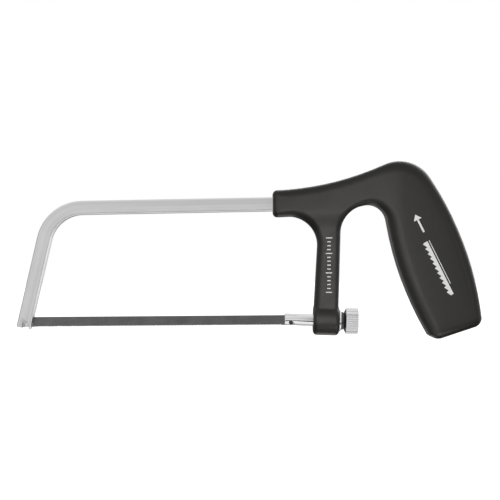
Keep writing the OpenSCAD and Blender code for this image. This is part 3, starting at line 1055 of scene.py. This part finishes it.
def floor_white():
    """Pale to the camera, and dim in reflections, as a floor in the shade of a table would be."""
    material, n, shader, place = new_material("floor_white")
    seen = n.add("ShaderNodeLightPath").outputs["Is Camera Ray"]
    fleck = n.noise(place, 12, 2)
    pale = n.mix(fleck, grey(0.88), grey(0.9))
    n.put(shader, "Base Color", n.mix(seen, grey(0.3), pale))
    n.put(shader, "Roughness", 0.8)
    n.put(shader, "Specular IOR Level", 0.0)
    n.put(shader, "Emission Color", (1, 1, 1, 1))
    n.put(shader, "Emission Strength", n.math("MULTIPLY", seen, 0.75))
    return material


# ---- studio ----


def add_floor():
    """A wide pale floor, low enough for the blade to swing down above it."""
    depth, reach = -125, 6000
    ends = [(-reach, -reach), (reach, -reach), (reach, reach), (-reach, reach)]
    points = [(x, y, depth) for x, y in ends]
    floor = make_object("studio_floor", points, [(0, 1, 2, 3)], floor_white())
    floor.visible_glossy = False
    floor.visible_shadow = False
    floor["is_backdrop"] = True


def add_world():
    """White to the camera. To the saw: a bright upper left front, a bright upper back, and a dim ring
    between them that is darkest underneath."""
    front_light, back_light, top_light, dark = 0.45, 0.6, 0.34, 0.1
    left_light, right_light = 0.22, 0.36
    key_way = Vector((-0.45, -1, 0.12)).normalized()
    world = bpy.data.worlds.new("studio")
    bpy.context.scene.world = world
    world.use_nodes = True
    n = Nodes(world.node_tree)
    way = n.add("ShaderNodeTexCoord").outputs["Generated"]
    parts = n.add("ShaderNodeSeparateXYZ", inputs={"Vector": way})
    towards = n.add("ShaderNodeVectorMath", operation="DOT_PRODUCT", inputs={0: way, 1: key_way})
    front = n.ramp(towards.outputs["Value"], 0.5, 1, 0, front_light)
    top = n.ramp(parts.outputs["Z"], 0.1, 0.9, 0, top_light)
    left = n.ramp(parts.outputs["X"], -0.9, -0.35, left_light, 0)
    right = n.ramp(parts.outputs["X"], 0.35, 0.9, 0, right_light)
    sides = n.math("ADD", left, right)
    light = n.math("ADD", n.math("ADD", front, top), n.math("ADD", sides, dark))
    lit = n.math("MULTIPLY", light, n.ramp(parts.outputs["Z"], -0.62, -0.22, 0.25, 1))
    back = n.ramp(parts.outputs["Y"], 0.25, 0.85, 0, back_light)
    back = n.math("MULTIPLY", back, n.ramp(parts.outputs["X"], -0.5, 0.1, 0.6, 1))
    lit_back = n.math("MULTIPLY", back, n.ramp(parts.outputs["Z"], -0.5, 0.1, 0.15, 1))
    seen = n.add("ShaderNodeLightPath").outputs["Is Camera Ray"]
    shares = {0: seen, 2: n.math("ADD", lit, lit_back), 3: 1.0}
    strength = n.add("ShaderNodeMix", data_type="FLOAT", inputs=shares).outputs[0]
    glow = n.add("ShaderNodeBackground", inputs={"Color": (1, 1, 1, 1), "Strength": strength})
    n.add("ShaderNodeOutputWorld", inputs={"Surface": glow.outputs[0]})


def add_softbox(name, at, target, size, watts, only=(), spread=180):
    """A soft panel that the camera doesn't see. With only, it lights just those pieces. Size is in
    millimetres, and spread is the angle of its beam in degrees."""
    light = bpy.data.lights.new(name, "AREA")
    light.shape = "RECTANGLE"
    light.size, light.size_y = size[0] * MM, size[1] * MM
    light.energy = watts
    light.spread = math.radians(spread)
    obj = new_object(name, light)
    obj.location = Vector(at) * MM
    obj.rotation_euler = (Vector(target) - Vector(at)).to_track_quat("-Z", "Y").to_euler()
    obj.visible_camera = False
    if only:
        lit = bpy.data.collections.new(name)
        for piece in only:
            lit.objects.link(piece)
        obj.light_linking.receiver_collection = lit


def add_camera():
    """Square on to the saw's side, a little rolled."""
    middle, distance, lens, roll = (127.1, 41.3), 760, 96, 0.44
    data = bpy.data.cameras.new("camera")
    data.lens = lens
    data.sensor_width = 36
    data.clip_start = 0.01
    data.clip_end = 50
    camera = new_object("camera", data)
    camera.location = Vector((middle[0], -distance, middle[1])) * MM
    camera.rotation_euler = (math.radians(90), math.radians(roll), 0)
    bpy.context.scene.camera = camera


def build_saw():
    """All of the saw's pieces, as the studio lights them: casting, blade, prints and bright pieces."""
    chrome = chrome_plate("chrome", (0.88, 0.88, 0.89), 0.1, 0.17)
    rod_chrome = chrome_plate("rod_chrome", (0.8, 0.8, 0.8), 0.09, 0.14)
    handle = handle_piece(cast_black())
    blade = blade_piece(blade_enamel())
    white = print_white()
    marks = [print_piece("grip_print", grip_marks(), GRIP_HALF, white),
             print_piece("arm_print", arm_marks(), ARM_HALF, white)]
    bow = bow_piece(satin_steel())
    # Both pins are one steel: the front one pale as painted light, the rear one dark as painted shade
    # from the hook slot round it.
    front_pin = pin_piece("front_blade_pin", 0, toned_steel("pin_painted_light", 0.9))
    pin_piece("rear_blade_pin", PIN_SPAN, toned_steel("pin_painted_shade", 0.16))
    rod = rod_piece(rod_chrome)
    washer = washer_piece(chrome)
    # The nut's collar material is dark as a painted reflection of the black barrel.
    nut = nut_piece(chrome, toned_steel("collar_painted_reflection", 0.12))
    return handle, blade, marks, [bow, front_pin, rod, washer, nut]


def add_flag():
    """A thin dark card below the lens, which only mirrors see: it draws the line along the rod."""
    material, n, shader, _ = new_material("flag_black")
    n.put(shader, "Base Color", grey(0.01))
    n.put(shader, "Roughness", 0.9)
    far, top_angle, bottom_angle = 300, 18, 40
    left, right = PIN_SPAN - 10, PIN_SPAN + 30
    top, bottom = (AXIS_AT[2] - far * math.tan(math.radians(a)) for a in (top_angle, bottom_angle))
    points = [(left, -far, bottom), (right, -far, bottom), (right, -far, top), (left, -far, top)]
    flag = make_object("studio_flag", points, [(0, 1, 2, 3)], material)
    for ray in ("camera", "diffuse", "shadow", "transmission"):
        setattr(flag, "visible_" + ray, False)
    flag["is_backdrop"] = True


def light_dark_parts(handle, blade, marks):
    """Strips beside the camera for all dark pieces, then panels for the prints, for the blade's bare
    steel in the front notch, which is partly painted light, and for single highlights on the casting."""
    middle, barrel, butt, notch = (130, 0, 40), (171, 0, 0), (243, 0, 0), (-1.5, 0, 0)
    dark_parts = [handle, blade] + marks
    add_softbox("left_strip", (-330, -900, 150), middle, (160, 500), 1.15, dark_parts)
    add_softbox("right_strip", (900, -850, 120), middle, (160, 500), 0.7, dark_parts)
    add_softbox("print_panel", (200, -600, 100), (200, 0, 30), (300, 300), 0.9, marks)
    add_softbox("notch_spot", (-1.5, -150, -25), notch, (4, 4), 2.2e-6, [blade], 2.5)
    add_softbox("rim_panel", (500, 600, 430), middle, (900, 700), 6, [handle])
    add_softbox("arm_glow", (178, -280, 0), (171, 0, 1), (60, 240), 0.18, [handle])
    add_softbox("barrel_glow", (171, -75, 20), (171, 0, 1), (36, 90), 0.007, [handle])
    add_softbox("barrel_low", (171, -60, -80), barrel, (50, 50), 0.012, [handle])
    add_softbox("butt_low", (243, -60, -90), butt, (50, 50), 0.03, [handle])
    add_softbox("barrel_rim", (171, 120, -140), barrel, (80, 120), 0.06, [handle])


def light_bright_parts(parts):
    """A tent of evenly glowing panels for the bright steel: long ones round the saw's length, each
    between two angles up from the camera's side, and square ones round its two ends."""
    radius, length, square = 650, 1400, 900
    middle, end_middle = Vector((130, 0, 0)), Vector((130, 0, 20))
    bands = [("front", -13, 3, 0.5), ("mid", 3, 48, 0.14), ("low", -90, -42, 1.05),
             ("back_low", -135, -90, 0.6), ("high", 48, 84, 0.38), ("zenith", 84, 112, 0.5),
             ("back_high", 112, 135, 0.2)]
    for name, low, high, glow in bands:
        up = math.radians((low + high) / 2)
        width = 2 * radius * math.tan(math.radians((high - low) / 2))
        at = middle + radius * Vector((0, -math.cos(up), math.sin(up)))
        watts = panel_watts(glow, length, width)
        add_softbox("tent_" + name, at, middle, (length, width), watts, parts)
    ends = [("left", -72, 0.1), ("right", 72, 0.65), ("back_right", 132, 0.6)]
    for name, angle, glow in ends:
        turn = math.radians(angle)
        at = end_middle + radius * Vector((math.sin(turn), -math.cos(turn), 0))
        watts = panel_watts(glow, square, square)
        add_softbox("tent_" + name, at, end_middle, (square, square), watts, parts)


def panel_watts(glow, length, width):
    """Power of a panel that looks as bright as a surface of a given glow."""
    return glow * math.pi * length * width * MM * MM


def build_studio(handle, blade, marks, bright_parts):
    """Floor, world and panels. The casting is kept out of the steel's reflections, where it drew
    black streaks along the rod."""
    add_floor()
    add_world()
    add_flag()
    handle.visible_glossy = False
    light_dark_parts(handle, blade, marks)
    light_bright_parts(bright_parts)
    bpy.context.scene.view_settings.view_transform = "Standard"


def write_sizes():
    """Puts the CAD's box and the visual model's box, both in metres, in a table that is then dropped."""
    def plain(bounds):
        return [[float(v) for v in corner] for corner in bounds]

    {"cad": plain(cad_bounds), "visual": plain(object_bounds())}


build_studio(*build_saw())
add_camera()
write_sizes()
